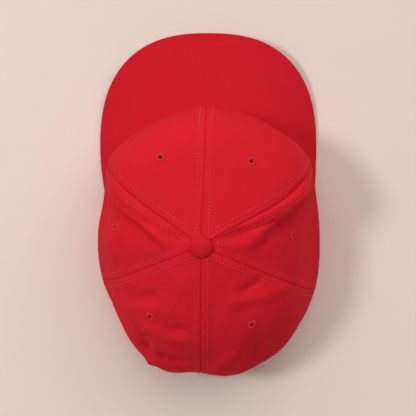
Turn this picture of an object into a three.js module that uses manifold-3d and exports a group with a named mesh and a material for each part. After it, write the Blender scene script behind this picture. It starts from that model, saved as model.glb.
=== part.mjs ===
// A six-panel snapback cap, resting crown up, in millimetres.
// The peak points to -Y, the wearer's left is +X, and up is +Z.
import * as THREE from "three";
import { mergeVertices } from "three/addons/utils/BufferGeometryUtils.js";
import Module from "manifold-3d";

const wasm = await Module();
wasm.setup();

// Crown
const HEM_HALF_LENGTH = 100;
const HEM_HALF_WIDTH = 88.5;
const CROWN_RISE = 113;
const CROWN_WALL = 1.8;
const TOP_TO_WEARERS_LEFT = 5.7;
const TOP_TO_BACK = 6.3;
const CLEARANCE = 0.3;

// Back opening
const ARCH_WIDTH = 90;
const ARCH_HEIGHT = 48;

// Visor
const VISOR_THICKNESS = 3;
const VISOR_RISE = 25;
const VISOR_SLOPE = 0.19;
const VISOR_REACH = 59;
const VISOR_PROUD_OF_HEM = 0.65;
const VISOR_TO_WEARERS_LEFT = 0.6;
const VISOR_END_ANGLE = 68;
const VISOR_TUCK_ANGLES = 6;
const VISOR_SQUARENESS = 2.5;
const VISOR_WIDEST_BEHIND_ROOT = 31;
const VISOR_TAPER_REACH = 160;
const HEM_HOLD_ANGLES = 0.7;
const HEM_FALL_ANGLES = 7.3;

// Sweatband
const BAND_HEIGHT = 32;
const BAND_WALL = 1.2;
const BAND_CLEARANCE = 0.5;
const BAND_ABOVE_TABLE = 1;

// Snap strap
const STRAP_HEIGHT = 19;
const STRAP_WALL = 1.5;
const STRAP_TONGUE = 14;
const SNAP_COUNT = 6;
const SNAP_PITCH = 9;
const PEG_RADIUS = 1.9;
const PEG_PROUD = 1.2;
const SNAP_END = 6;
const STRAP_STEP_LENGTH = 10;
const STRAP_STEP_PAST_END = 2;

// Button and eyelets
const BUTTON_RADIUS = 8;
const BUTTON_HEIGHT = 4.4;
const BUTTON_EDGE = 0.7;
const SHANK_RADIUS = 2.6;
const SHANK_BELOW_CROWN = 1;
const EYELET_RADIUS = 3.6;
const EYELET_HOLE_RADIUS = 1.3;
const EYELET_PROUD = 0.4;

// Fineness of the faceted solids
const PANEL_COLUMNS = 10;
const ROWS_ABOVE_BAND = 11;
const VISOR_ROWS = 9;
const BAND_ROWS = 3;
const ROUND_SIDES = 12;

// The colours are those of the photograph's red cotton twill and of its plain red plastic strap.
const CLOTH = { color: 0xd4212b, roughness: 0.9, metalness: 0 };
const LINING_CLOTH = { color: 0xa8161f, roughness: 0.95, metalness: 0 };
const PLASTIC = { color: 0xb51a22, roughness: 0.45, metalness: 0 };

// The seams between the panels, as degrees round the hem from the front towards the wearer's left.
const SEAMS = { front: 1, frontLeft: 55, backLeft: 114, back: 176.4, backRight: 242, frontRight: 305 };

function table(columns, rows) {
  return rows.map((row) => Object.fromEntries(columns.map((name, i) => [name, row[i]])));
}

// Meridians run from the top of the crown to the hem. Angle is where one meets the hem, and reach how far
// out its hem lies, as a share of the hem's oval. The three stations between are given by how far out they
// lie, as a share of the way to the hem, and how high, as a share of the crown's rise. Swing bows the
// meridian sideways, as a share of the hem's half width.
const MERIDIANS = table(
  ["angle", "reach", "topOut", "topUp", "ridgeOut", "ridgeUp", "wallOut", "wallUp", "swing"],
  [
    [1, 1, 0.4, 0.965, 0.795, 0.87, 0.925, 0.62, 0],
    [28, 1.01, 0.405, 0.965, 0.795, 0.85, 0.935, 0.6, 0],
    [55, 1.053, 0.43, 0.935, 0.8, 0.77, 0.945, 0.5, 0.045],
    [70, 0.993, 0.42, 0.915, 0.78, 0.7, 0.885, 0.4, 0.02],
    [90, 1.002, 0.42, 0.925, 0.82, 0.69, 0.91, 0.38, 0],
    [114, 1.023, 0.41, 0.895, 0.74, 0.69, 0.88, 0.41, 0],
    [130, 1.03, 0.41, 0.895, 0.78, 0.68, 0.94, 0.4, 0],
    [146, 1.055, 0.42, 0.9, 0.82, 0.68, 1, 0.38, 0],
    [160, 1.035, 0.43, 0.91, 0.84, 0.7, 1.06, 0.42, 0],
    [177, 0.985, 0.43, 0.915, 0.83, 0.74, 1.055, 0.45, 0],
    [184, 0.99, 0.43, 0.912, 0.835, 0.72, 1.08, 0.45, 0],
    [197, 1.02, 0.43, 0.905, 0.84, 0.7, 1.05, 0.42, 0],
    [212, 1.06, 0.42, 0.9, 0.8, 0.69, 1, 0.38, 0],
    [226, 1.075, 0.41, 0.895, 0.76, 0.69, 0.93, 0.4, 0],
    [242, 1.05, 0.41, 0.885, 0.73, 0.68, 0.88, 0.4, 0],
    [268, 1, 0.38, 0.925, 0.72, 0.7, 0.86, 0.4, 0],
    [290, 1.015, 0.42, 0.89, 0.74, 0.69, 0.88, 0.4, -0.02],
    [305, 1.06, 0.43, 0.935, 0.8, 0.77, 0.945, 0.5, -0.085],
    [332, 1.01, 0.405, 0.965, 0.795, 0.85, 0.935, 0.6, 0],
  ],
);
const STATIONS = [0, 0.27, 0.54, 0.74, 1];
const SWING_LOWERED = 1.6;

// Folds and dents of the soft cloth. Each runs between two places, given by angle and station. Depth is a
// share of the crown's rise, negative into the crown, and width a share of the hem's half width.
const FOLDS = table(
  ["fromAngle", "fromStation", "toAngle", "toStation", "depth", "width"],
  [
    [67.5, 0.58, 90.5, 0.22, -0.022, 0.075],
    [76, 0.56, 94, 0.36, 0.014, 0.07],
    [291, 0.645, 265, 0.3, -0.026, 0.11],
    [279, 0.62, 262, 0.42, 0.014, 0.09],
    [122, 0.66, 136, 0.38, -0.018, 0.085],
    [131, 0.57, 142, 0.42, 0.008, 0.08],
    [138, 0.67, 165, 0.42, -0.014, 0.09],
    [146, 0.52, 168, 0.48, 0.014, 0.08],
    [147, 0.61, 151, 0.68, -0.045, 0.1],
    [160, 0.63, 168, 0.64, -0.04, 0.09],
    [206, 0.305, 238, 0.505, 0.014, 0.08],
    [219.5, 0.295, 234, 0.33, -0.013, 0.06],
    [181.5, 0.675, 191.5, 0.575, 0.018, 0.07],
    [200, 0.66, 206, 0.58, -0.016, 0.07],
    [118, 0.86, 131, 0.72, -0.018, 0.07],
    [155, 0.82, 156, 0.7, 0.02, 0.06],
  ],
);

const EYELETS = table(
  ["name", "angle", "station"],
  [
    ["front_left", 29, 0.46],
    ["side_left", 82, 0.503],
    ["back_left", 143.5, 0.45],
    ["back_right", 208, 0.445],
    ["side_right", 272.5, 0.54],
    ["front_right", 330.5, 0.44],
  ],
);

const radians = THREE.MathUtils.degToRad;
const clamp = THREE.MathUtils.clamp;
const smoothstep = THREE.MathUtils.smoothstep;
const FULL_TURN = 360;

// A cubic through one stretch of a curve: its ends, and its slopes there over the stretch's length.
function hermite(start, end, startRise, endRise, share) {
  const s2 = share * share;
  const s3 = s2 * share;
  return (
    (2 * s3 - 3 * s2 + 1) * start +
    (s3 - 2 * s2 + share) * startRise +
    (3 * s2 - 2 * s3) * end +
    (s3 - s2) * endRise
  );
}

// The slope at the middle one of three points that are unevenly spaced.
function middleSlope(before, here, after, stepBefore, stepAfter) {
  const slopeBefore = (here - before) / stepBefore;
  const slopeAfter = (after - here) / stepAfter;
  return (slopeBefore * stepAfter + slopeAfter * stepBefore) / (stepBefore + stepAfter);
}

// A smooth value round the hem, through the named column of the meridians.
function round(name, angle) {
  const count = MERIDIANS.length;
  const first = MERIDIANS[0].angle;
  const turned = first + THREE.MathUtils.euclideanModulo(angle - first, FULL_TURN);
  let i = count - 1;
  while (MERIDIANS[i].angle > turned) i -= 1;
  const at = (k) => {
    const turns = Math.floor(k / count);
    const row = MERIDIANS[k - turns * count];
    return { angle: row.angle + turns * FULL_TURN, value: row[name] };
  };
  const [a, b, c, d] = [at(i - 1), at(i), at(i + 1), at(i + 2)];
  const step = c.angle - b.angle;
  const slopeB = middleSlope(a.value, b.value, c.value, b.angle - a.angle, step);
  const slopeC = middleSlope(b.value, c.value, d.value, step, d.angle - c.angle);
  return hermite(b.value, c.value, slopeB * step, slopeC * step, (turned - b.angle) / step);
}

// A smooth value down one meridian, through its five stations.
function down(values, station, levelAtTop) {
  const last = STATIONS.length - 1;
  const steps = STATIONS.slice(1).map((here, k) => here - STATIONS[k]);
  const slopes = values.map((value, k) =>
    k === 0 || k === last ? 0 : middleSlope(values[k - 1], value, values[k + 1], steps[k - 1], steps[k]),
  );
  slopes[0] = levelAtTop ? 0 : (1.5 * (values[1] - values[0])) / steps[0] - slopes[1] / 2;
  slopes[last] = (1.5 * (values[last] - values[last - 1])) / steps[last - 1] - slopes[last - 1] / 2;
  let k = last - 1;
  while (STATIONS[k] > station) k -= 1;
  const share = (station - STATIONS[k]) / steps[k];
  return hermite(values[k], values[k + 1], slopes[k] * steps[k], slopes[k + 1] * steps[k], share);
}

// The hem in plan.
function hemPlan(angle) {
  const a = radians(angle);
  const oval =
    (HEM_HALF_LENGTH * HEM_HALF_WIDTH) /
    Math.hypot(HEM_HALF_WIDTH * Math.cos(a), HEM_HALF_LENGTH * Math.sin(a));
  const distance = oval * round("reach", angle);
  return new THREE.Vector2(distance * Math.sin(a), -distance * Math.cos(a));
}

// The visor is widest beside the crown, and its top falls to both sides, where its edges touch the table.
const leftTip = hemPlan(VISOR_END_ANGLE).x - VISOR_TO_WEARERS_LEFT;
const rightTip = VISOR_TO_WEARERS_LEFT - hemPlan(-VISOR_END_ANGLE).x;
const VISOR_HALF_WIDTH = Math.max(leftTip, rightTip) + VISOR_PROUD_OF_HEM;
const VISOR_ROOT_Y = hemPlan(0).y;
function visorTop(x, y) {
  const middle = VISOR_RISE + VISOR_THICKNESS + (y - VISOR_ROOT_Y) * VISOR_SLOPE;
  return middle - (middle - VISOR_THICKNESS) * ((x - VISOR_TO_WEARERS_LEFT) / VISOR_HALF_WIDTH) ** 2;
}

// The hem's height: on the visor along the front, and on the table from a few degrees behind its ends.
const HEM_FALL_START = VISOR_END_ANGLE + HEM_HOLD_ANGLES;
const HEM_FALL_END = HEM_FALL_START + HEM_FALL_ANGLES;
function fromFront(angle) {
  return Math.abs(THREE.MathUtils.euclideanModulo(angle + FULL_TURN / 2, FULL_TURN) - FULL_TURN / 2);
}
function shareOnVisor(angle) {
  return 1 - smoothstep(fromFront(angle), HEM_FALL_START, HEM_FALL_END);
}
function hemHeight(angle, x, y) {
  return shareOnVisor(angle) * (visorTop(x, y) + CLEARANCE);
}

// The crown's outer face before its folds.
function smoothCrown(angle, station) {
  const hem = hemPlan(angle);
  const hemUp = hemHeight(angle, hem.x, hem.y) / CROWN_RISE;
  const out = down(
    [0, round("topOut", angle), round("ridgeOut", angle), round("wallOut", angle), 1],
    station,
    false,
  );
  const up = down(
    [1, round("topUp", angle), round("ridgeUp", angle), round("wallUp", angle), hemUp],
    station,
    true,
  );
  const along = new THREE.Vector2(hem.x - TOP_TO_WEARERS_LEFT, hem.y - TOP_TO_BACK);
  const sideways = new THREE.Vector2(-along.y, along.x).normalize();
  const bow = round("swing", angle) * HEM_HALF_WIDTH * Math.sin(Math.PI * clamp(out, 0, 1) ** SWING_LOWERED);
  return new THREE.Vector3(
    TOP_TO_WEARERS_LEFT + along.x * out + sideways.x * bow,
    TOP_TO_BACK + along.y * out + sideways.y * bow,
    CROWN_RISE * up,
  );
}

// The outward normal of a surface over angle and station.
const ANGLE_STEP = 0.05;
const STATION_STEP = 0.0005;
function normalOf(surface, angle, station) {
  const high = Math.min(station + STATION_STEP, 1);
  const low = high - 2 * STATION_STEP;
  const acrossIt = surface(angle + ANGLE_STEP, station).sub(surface(angle - ANGLE_STEP, station));
  const downIt = surface(angle, high).sub(surface(angle, low));
  return downIt.cross(acrossIt).normalize();
}

const foldLines = FOLDS.map((fold) => ({
  line: new THREE.Line3(
    smoothCrown(fold.fromAngle, fold.fromStation),
    smoothCrown(fold.toAngle, fold.toStation),
  ),
  depth: fold.depth * CROWN_RISE,
  width: fold.width * HEM_HALF_WIDTH,
}));
const nearest = new THREE.Vector3();
function foldDepth(point) {
  let depth = 0;
  for (const fold of foldLines) {
    fold.line.closestPointToPoint(point, true, nearest);
    depth += fold.depth * Math.exp(-((point.distanceTo(nearest) / fold.width) ** 2) * 2);
  }
  return depth;
}

// The crown's outer face, folds and all. They fade out at the hem, which stays flat on the table.
const FOLD_FADE = 0.12;
function crown(angle, station) {
  const point = smoothCrown(angle, station);
  const depth = foldDepth(point) * smoothstep(1 - station, 0, FOLD_FADE);
  return depth === 0 ? point : point.addScaledVector(normalOf(smoothCrown, angle, station), depth);
}

// A point a given depth inside the crown's outer face. At the hem it is moved level, so hems end flush.
const LEVEL_FROM = 0.9;
function inside(angle, station, depth) {
  const normal = normalOf(crown, angle, station);
  const level = new THREE.Vector3(normal.x, normal.y, 0);
  level.divideScalar(level.lengthSq());
  normal.lerp(level, smoothstep(station, LEVEL_FROM, 1));
  return crown(angle, station).addScaledVector(normal, -depth);
}

// How often a search by bisection halves its range.
const HALVINGS = 40;

// The station at which a meridian passes a given plan distance from the top.
function stationAtRadius(angle, radius) {
  let low = 0;
  let high = 1;
  for (let k = 0; k < HALVINGS; k += 1) {
    const middle = (low + high) / 2;
    const point = smoothCrown(angle, middle);
    if (Math.hypot(point.x - TOP_TO_WEARERS_LEFT, point.y - TOP_TO_BACK) < radius) low = middle;
    else high = middle;
  }
  return high;
}

// The station that lies a given length up a meridian from the hem.
const CLIMB_STEPS = 120;
function stationAbove(angle, length) {
  let climbed = 0;
  let station = 1;
  let here = crown(angle, station);
  for (let k = 0; k < CLIMB_STEPS; k += 1) {
    const next = crown(angle, station - 1 / CLIMB_STEPS);
    const step = next.distanceTo(here);
    if (climbed + step >= length) return station - (length - climbed) / step / CLIMB_STEPS;
    climbed += step;
    station -= 1 / CLIMB_STEPS;
    here = next;
  }
  throw new Error("a band is taller than the crown");
}

// A place inside the crown by its length up from the hem. Below the hem it goes straight down.
function above(angle, length, depth) {
  if (length >= 0) return inside(angle, stationAbove(angle, length), depth);
  return inside(angle, 1, depth).add(new THREE.Vector3(0, 0, length));
}

// A closed wall between two grids of points. Columns run towards growing angle and rows down or outwards.
function wall(columns, rows, outer, inner) {
  const positions = [];
  const triangles = [];
  for (const face of [outer, inner])
    for (let i = 0; i <= columns; i += 1)
      for (let j = 0; j <= rows; j += 1) positions.push(...face(i, j).toArray());
  const at = (layer, i, j) => (layer * (columns + 1) + i) * (rows + 1) + j;
  const quad = (a, b, c, d) => triangles.push(a, b, c, a, c, d);
  for (let i = 0; i < columns; i += 1)
    for (let j = 0; j < rows; j += 1) {
      quad(at(0, i, j), at(0, i, j + 1), at(0, i + 1, j + 1), at(0, i + 1, j));
      quad(at(1, i, j), at(1, i + 1, j), at(1, i + 1, j + 1), at(1, i, j + 1));
    }
  for (let i = 0; i < columns; i += 1) {
    quad(at(0, i, rows), at(1, i, rows), at(1, i + 1, rows), at(0, i + 1, rows));
    quad(at(0, i, 0), at(0, i + 1, 0), at(1, i + 1, 0), at(1, i, 0));
  }
  for (let j = 0; j < rows; j += 1) {
    quad(at(0, 0, j), at(1, 0, j), at(1, 0, j + 1), at(0, 0, j + 1));
    quad(at(0, columns, j), at(0, columns, j + 1), at(1, columns, j + 1), at(1, columns, j));
  }
  const geometry = new THREE.BufferGeometry();
  geometry.setAttribute("position", new THREE.Float32BufferAttribute(positions, 3));
  geometry.setIndex(triangles);
  return geometry;
}

// Booleans
function solid(geometry) {
  const plain = geometry.clone();
  plain.deleteAttribute("normal");
  plain.deleteAttribute("uv");
  const merged = mergeVertices(plain);
  return new wasm.Manifold(
    new wasm.Mesh({
      numProp: 3,
      vertProperties: new Float32Array(merged.attributes.position.array),
      triVerts: new Uint32Array(merged.index.array),
    }),
  );
}
function geometryOf(manifold) {
  const mesh = manifold.getMesh();
  const geometry = new THREE.BufferGeometry();
  geometry.setAttribute("position", new THREE.BufferAttribute(mesh.vertProperties, 3));
  geometry.setIndex(new THREE.BufferAttribute(mesh.triVerts, 1));
  return geometry;
}

const cap = new THREE.Group();
function add(name, geometry, finish) {
  const material = new THREE.MeshStandardMaterial({ name, side: THREE.FrontSide, ...finish });
  const mesh = new THREE.Mesh(geometry, material);
  mesh.name = name;
  cap.add(mesh);
}

// A round piece whose axis is moved from +Y onto the crown's normal at a place.
function standOn(geometry, angle, station, depth) {
  const normal = normalOf(crown, angle, station);
  const turn = new THREE.Quaternion().setFromUnitVectors(new THREE.Vector3(0, 1, 0), normal);
  const place = crown(angle, station).addScaledVector(normal, -depth);
  return geometry.applyMatrix4(new THREE.Matrix4().compose(place, turn, new THREE.Vector3(1, 1, 1)));
}

// Angles from one seam to the next, with one of them moved onto each place where the hem's height turns.
const HEM_TURNS = [HEM_FALL_START, HEM_FALL_END].flatMap((angle) => [angle, FULL_TURN - angle]);
function anglesBetween(from, to, count) {
  const angles = Array.from({ length: count + 1 }, (_, i) => from + ((to - from) * i) / count);
  for (const turn of HEM_TURNS)
    if (turn > from && turn < to) {
      const nearestIndex = clamp(Math.round(((turn - from) / (to - from)) * count), 1, count - 1);
      angles[nearestIndex] = turn;
    }
  return angles;
}

// Crown panels, each kept half the clearance from its seams. Their lowest rows lie level with those of the
// sweatband.
const TOP_HOLE_RADIUS = SHANK_RADIUS + CLEARANCE;
const PANEL_ROWS = ROWS_ABOVE_BAND + BAND_ROWS;
function rowStation(angle, row) {
  if (row >= ROWS_ABOVE_BAND) return stationAbove(angle, (BAND_HEIGHT * (PANEL_ROWS - row)) / BAND_ROWS);
  const share = row / ROWS_ABOVE_BAND;
  const highest = stationAtRadius(angle, TOP_HOLE_RADIUS);
  return THREE.MathUtils.lerp(highest, stationAbove(angle, BAND_HEIGHT), share);
}
function panelGeometry(from, to) {
  const angles = anglesBetween(from, to, PANEL_COLUMNS);
  const seamShift = (seam, station) => {
    const perDegree = smoothCrown(seam, station).distanceTo(smoothCrown(seam + 1, station));
    return CLEARANCE / 2 / perDegree;
  };
  const place = (i, j) => {
    const station = rowStation(angles[i], j);
    if (i === 0) return [angles[i] + seamShift(from, station), station];
    if (i === PANEL_COLUMNS) return [angles[i] - seamShift(to, station), station];
    return [angles[i], station];
  };
  const outer = (i, j) => crown(...place(i, j));
  const inner = (i, j) => {
    const point = inside(...place(i, j), CROWN_WALL);
    if (j === PANEL_ROWS) point.z = hemHeight(place(i, j)[0], point.x, point.y);
    return point;
  };
  return wall(PANEL_COLUMNS, PANEL_ROWS, outer, inner);
}

function archCutter() {
  const shape = new THREE.Shape();
  const half = ARCH_WIDTH / 2;
  const below = CROWN_WALL;
  shape.moveTo(-half, -below);
  shape.lineTo(half, -below);
  shape.lineTo(half, 0);
  shape.absellipse(0, 0, half, ARCH_HEIGHT, 0, Math.PI, false, 0);
  shape.lineTo(-half, -below);
  const depth = HEM_HALF_LENGTH;
  const extrusion = { depth, bevelEnabled: false, curveSegments: ROUND_SIDES };
  const geometry = new THREE.ExtrudeGeometry(shape, extrusion);
  geometry.rotateX(Math.PI / 2);
  geometry.translate(0, depth + HEM_HALF_LENGTH / 2, 0);
  return geometry;
}

const panels = [
  { name: "front_left", from: SEAMS.front, to: SEAMS.frontLeft },
  { name: "side_left", from: SEAMS.frontLeft, to: SEAMS.backLeft },
  { name: "back_left", from: SEAMS.backLeft, to: SEAMS.back },
  { name: "back_right", from: SEAMS.back, to: SEAMS.backRight },
  { name: "side_right", from: SEAMS.backRight, to: SEAMS.frontRight },
  { name: "front_right", from: SEAMS.frontRight, to: SEAMS.front + FULL_TURN },
];
const arch = solid(archCutter());
for (const panel of panels) {
  const eyelet = EYELETS.find((row) => row.name === panel.name);
  const holeRadius = EYELET_RADIUS + CLEARANCE;
  const drill = new THREE.CylinderGeometry(holeRadius, holeRadius, 4 * CROWN_WALL, ROUND_SIDES);
  let cloth = solid(panelGeometry(panel.from, panel.to));
  cloth = cloth.subtract(solid(standOn(drill, eyelet.angle, eyelet.station, 0)));
  if (panel.name.startsWith("back")) cloth = cloth.subtract(arch);
  add("panel_" + panel.name, geometryOf(cloth), CLOTH);
}

// Eyelets: a rounded ring through each panel, standing a little proud on both faces
for (const eyelet of EYELETS) {
  const top = EYELET_PROUD;
  const bottom = -CROWN_WALL - EYELET_PROUD;
  const edge = EYELET_PROUD;
  const section = [
    [EYELET_HOLE_RADIUS, bottom + edge],
    [EYELET_HOLE_RADIUS + edge, bottom],
    [EYELET_RADIUS - edge, bottom],
    [EYELET_RADIUS, bottom + edge],
    [EYELET_RADIUS, top - edge],
    [EYELET_RADIUS - edge, top],
    [EYELET_HOLE_RADIUS + edge, top],
    [EYELET_HOLE_RADIUS, top - edge],
    [EYELET_HOLE_RADIUS, bottom + edge],
  ].map(([radius, height]) => new THREE.Vector2(radius, height));
  const ring = standOn(new THREE.LatheGeometry(section, ROUND_SIDES), eyelet.angle, eyelet.station, 0);
  add("eyelet_" + eyelet.name, geometryOf(solid(ring)), CLOTH);
}

// Button: a dome over the meeting of the seams, on a shank that passes down through it
const DOME_STEPS = 5;
function buttonGeometry() {
  const seat = CROWN_RISE + CLEARANCE;
  const shankEnd = CROWN_RISE - CROWN_WALL - SHANK_BELOW_CROWN;
  const profile = [
    [0, shankEnd],
    [SHANK_RADIUS, shankEnd],
    [SHANK_RADIUS, seat],
    [BUTTON_RADIUS - BUTTON_EDGE, seat],
  ];
  for (let k = 0; k <= DOME_STEPS; k += 1) {
    const turn = (Math.PI / 2) * (k / DOME_STEPS);
    profile.push([
      k === DOME_STEPS ? 0 : BUTTON_RADIUS * Math.cos(turn),
      seat + BUTTON_EDGE + (BUTTON_HEIGHT - BUTTON_EDGE) * Math.sin(turn),
    ]);
  }
  const points = profile.map(([radius, height]) => new THREE.Vector2(radius, height));
  const geometry = new THREE.LatheGeometry(points, 2 * ROUND_SIDES);
  geometry.rotateX(Math.PI / 2);
  geometry.translate(TOP_TO_WEARERS_LEFT, TOP_TO_BACK, 0);
  return geometry;
}
add("button", geometryOf(solid(buttonGeometry())), CLOTH);

// Visor: its inner edge lies flush with the inner face of the front panels, and its outline is a squared oval
const visorWidestY = VISOR_ROOT_Y + VISOR_WIDEST_BEHIND_ROOT;
function visorOutline(angle) {
  const tipY = inside(VISOR_END_ANGLE, 1, CROWN_WALL).y;
  const power = 2 / VISOR_SQUARENESS;
  const endCosine = ((tipY - visorWidestY) / VISOR_TAPER_REACH) ** (1 / power);
  const endTurn = Math.PI / 2 + Math.asin(endCosine);
  const turn = (endTurn * angle) / VISOR_END_ANGLE;
  const sine = Math.sin(turn);
  const cosine = Math.cos(turn);
  const reach = cosine > 0 ? -(VISOR_REACH + VISOR_WIDEST_BEHIND_ROOT) : VISOR_TAPER_REACH;
  return new THREE.Vector2(
    VISOR_TO_WEARERS_LEFT + VISOR_HALF_WIDTH * Math.sign(sine) * Math.abs(sine) ** power,
    visorWidestY + reach * Math.abs(cosine) ** power,
  );
}
// The panels' own columns between two angles, with these and any others that are wanted.
function columnAngles(low, high, others = []) {
  const all = panels.flatMap((panel) => anglesBetween(panel.from, panel.to, PANEL_COLUMNS).slice(0, -1));
  const around = [...all.map((angle) => angle - FULL_TURN), ...all];
  const wanted = [low, ...others, high];
  const leastAngle = 0.8;
  const apart = (angle) => wanted.every((other) => Math.abs(angle - other) > leastAngle);
  const between = around.filter((angle) => angle > low && angle < high && apart(angle));
  return [...wanted, ...between].sort((a, b) => a - b);
}
function visorGeometry() {
  const angles = columnAngles(-VISOR_END_ANGLE, VISOR_END_ANGLE);
  const plan = (i, j) => {
    const root = inside(angles[i], 1, CROWN_WALL);
    const tucked = smoothstep(fromFront(angles[i]), VISOR_END_ANGLE - VISOR_TUCK_ANGLES, VISOR_END_ANGLE);
    const edge = visorOutline(angles[i]).lerp(hemPlan(angles[i]), tucked);
    return new THREE.Vector2(root.x, root.y).lerp(edge, j / VISOR_ROWS);
  };
  const top = (i, j) => {
    const { x, y } = plan(i, j);
    return new THREE.Vector3(x, y, visorTop(x, y));
  };
  const under = (i, j) => top(i, j).sub(new THREE.Vector3(0, 0, VISOR_THICKNESS));
  return wall(angles.length - 1, VISOR_ROWS, top, under);
}
add("visor", visorGeometry(), CLOTH);

// The angle round the back at which the hem lies a given distance to the wearer's left of the middle.
function backAngle(x) {
  let low = FULL_TURN / 3;
  let high = (2 * FULL_TURN) / 3;
  for (let k = 0; k < HALVINGS; k += 1) {
    const middle = (low + high) / 2;
    if (hemPlan(middle).x > x) low = middle;
    else high = middle;
  }
  return low;
}

// Sweatband: from one strap tongue round the front to the other, close inside the crown
const bandEndX = ARCH_WIDTH / 2 + STRAP_TONGUE + CLEARANCE;
function bandGeometry() {
  const angles = columnAngles(backAngle(-bandEndX) - FULL_TURN, backAngle(bandEndX));
  const foot = (angle) =>
    THREE.MathUtils.lerp(BAND_ABOVE_TABLE, -VISOR_THICKNESS - CLEARANCE, shareOnVisor(angle));
  const place = (i, j, depth) => {
    const length = j === BAND_ROWS ? foot(angles[i]) : BAND_HEIGHT * (1 - j / BAND_ROWS);
    return above(angles[i], length, depth);
  };
  const near = CROWN_WALL + BAND_CLEARANCE;
  return wall(
    angles.length - 1,
    BAND_ROWS,
    (i, j) => place(i, j, near),
    (i, j) => place(i, j, near + BAND_WALL),
  );
}
add("sweatband", bandGeometry(), LINING_CLOTH);

// Snap strap: the left half has the holes and lies outside, and the right half's pegs come through them
const STRAP_ROWS = 2;
const snapHalf = ((SNAP_COUNT - 1) * SNAP_PITCH) / 2;
const strapEnd = snapHalf + SNAP_END;
const strapNear = CROWN_WALL + BAND_CLEARANCE;
const strapFar = strapNear + STRAP_WALL + CLEARANCE;
const strapMiddle = BAND_ABOVE_TABLE + STRAP_HEIGHT / 2;
const strapFoot = ARCH_WIDTH / 2 + STRAP_TONGUE;
const stepEndX = -strapEnd - STRAP_STEP_PAST_END;
const stepStartX = stepEndX - STRAP_STEP_LENGTH;
function strapGeometry(fromX, toX, depthAt) {
  const bends = [stepEndX, stepStartX].filter((x) => x < fromX && x > toX).map(backAngle);
  const angles = columnAngles(backAngle(fromX), backAngle(toX), bends);
  const place = (i, j, depth) => {
    const length = BAND_ABOVE_TABLE + STRAP_HEIGHT * (1 - j / STRAP_ROWS);
    return above(angles[i], length, depth + depthAt(hemPlan(angles[i]).x));
  };
  return wall(
    angles.length - 1,
    STRAP_ROWS,
    (i, j) => place(i, j, 0),
    (i, j) => place(i, j, STRAP_WALL),
  );
}
function snapRods(radius, outerDepth, innerDepth) {
  return Array.from({ length: SNAP_COUNT }, (_, k) => {
    const angle = backAngle(snapHalf - k * SNAP_PITCH);
    const rod = new THREE.CylinderGeometry(radius, radius, innerDepth - outerDepth, ROUND_SIDES);
    return solid(standOn(rod, angle, stationAbove(angle, strapMiddle), (outerDepth + innerDepth) / 2));
  });
}
let strapLeft = solid(strapGeometry(strapFoot, -strapEnd, () => strapNear));
for (const hole of snapRods(PEG_RADIUS + CLEARANCE, 0, strapFar)) strapLeft = strapLeft.subtract(hole);
add("strap_left", geometryOf(strapLeft), PLASTIC);

const rightDepth = (x) => THREE.MathUtils.lerp(strapNear, strapFar, smoothstep(x, stepStartX, stepEndX));
let strapRight = solid(strapGeometry(strapEnd, -strapFoot, rightDepth));
const pegTop = strapNear - PEG_PROUD;
const pegRoot = strapFar + STRAP_WALL / 2;
for (const peg of snapRods(PEG_RADIUS, pegTop, pegRoot)) strapRight = strapRight.add(peg);
add("strap_right", geometryOf(strapRight), PLASTIC);

// The origin is under the middle of the whole cap, on the table.
const box = new THREE.Box3().setFromObject(cap);
const middle = box.getCenter(new THREE.Vector3());
cap.position.set(-middle.x, -middle.y, -box.min.z);

export default cap;
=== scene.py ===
# A red six-panel snapback cap, resting crown up on a pale floor. Everything is in metres.
import math

import bpy
import numpy as np
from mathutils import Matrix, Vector


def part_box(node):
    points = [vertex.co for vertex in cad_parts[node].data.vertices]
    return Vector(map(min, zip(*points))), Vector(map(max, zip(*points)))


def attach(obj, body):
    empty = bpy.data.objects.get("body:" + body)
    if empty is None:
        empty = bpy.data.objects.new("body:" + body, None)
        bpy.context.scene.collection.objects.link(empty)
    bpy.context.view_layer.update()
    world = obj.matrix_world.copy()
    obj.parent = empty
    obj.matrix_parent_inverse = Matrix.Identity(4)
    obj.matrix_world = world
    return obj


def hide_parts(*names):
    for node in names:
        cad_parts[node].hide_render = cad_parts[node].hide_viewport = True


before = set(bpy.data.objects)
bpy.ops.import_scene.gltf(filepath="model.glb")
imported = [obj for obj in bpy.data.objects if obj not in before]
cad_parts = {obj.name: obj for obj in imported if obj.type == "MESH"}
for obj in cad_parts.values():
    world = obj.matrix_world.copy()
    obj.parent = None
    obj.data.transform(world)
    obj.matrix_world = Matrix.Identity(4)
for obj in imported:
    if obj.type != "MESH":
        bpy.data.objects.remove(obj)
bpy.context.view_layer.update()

MM = 0.001
FULL_TURN = 360.0

# Sizes, which repeat the part's own, but for smaller holes in the eyelets
HEM_HALF_LENGTH = 100 * MM
HEM_HALF_WIDTH = 88.5 * MM
CROWN_RISE = 113 * MM
CROWN_WALL = 1.8 * MM
TOP_TO_WEARERS_LEFT = 5.7 * MM
TOP_TO_BACK = 6.3 * MM
CLEARANCE = 0.3 * MM
ARCH_WIDTH = 90 * MM
ARCH_HEIGHT = 48 * MM
VISOR_THICKNESS = 3 * MM
VISOR_RISE = 25 * MM
VISOR_SLOPE = 0.19
VISOR_REACH = 59 * MM
VISOR_PROUD_OF_HEM = 0.65 * MM
VISOR_TO_WEARERS_LEFT = 0.6 * MM
VISOR_END_ANGLE = 68.0
VISOR_TUCK_ANGLES = 6.0
VISOR_SQUARENESS = 2.5
VISOR_WIDEST_BEHIND_ROOT = 31 * MM
VISOR_TAPER_REACH = 160 * MM
HEM_HOLD_ANGLES = 0.7
HEM_FALL_ANGLES = 7.3
BAND_HEIGHT = 32 * MM
BAND_WALL = 1.2 * MM
BAND_CLEARANCE = 0.5 * MM
BAND_ABOVE_TABLE = 1 * MM
STRAP_HEIGHT = 19 * MM
STRAP_WALL = 1.5 * MM
STRAP_TONGUE = 14 * MM
STRAP_STEP_LENGTH = 10 * MM
STRAP_STEP_PAST_END = 2 * MM
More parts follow.
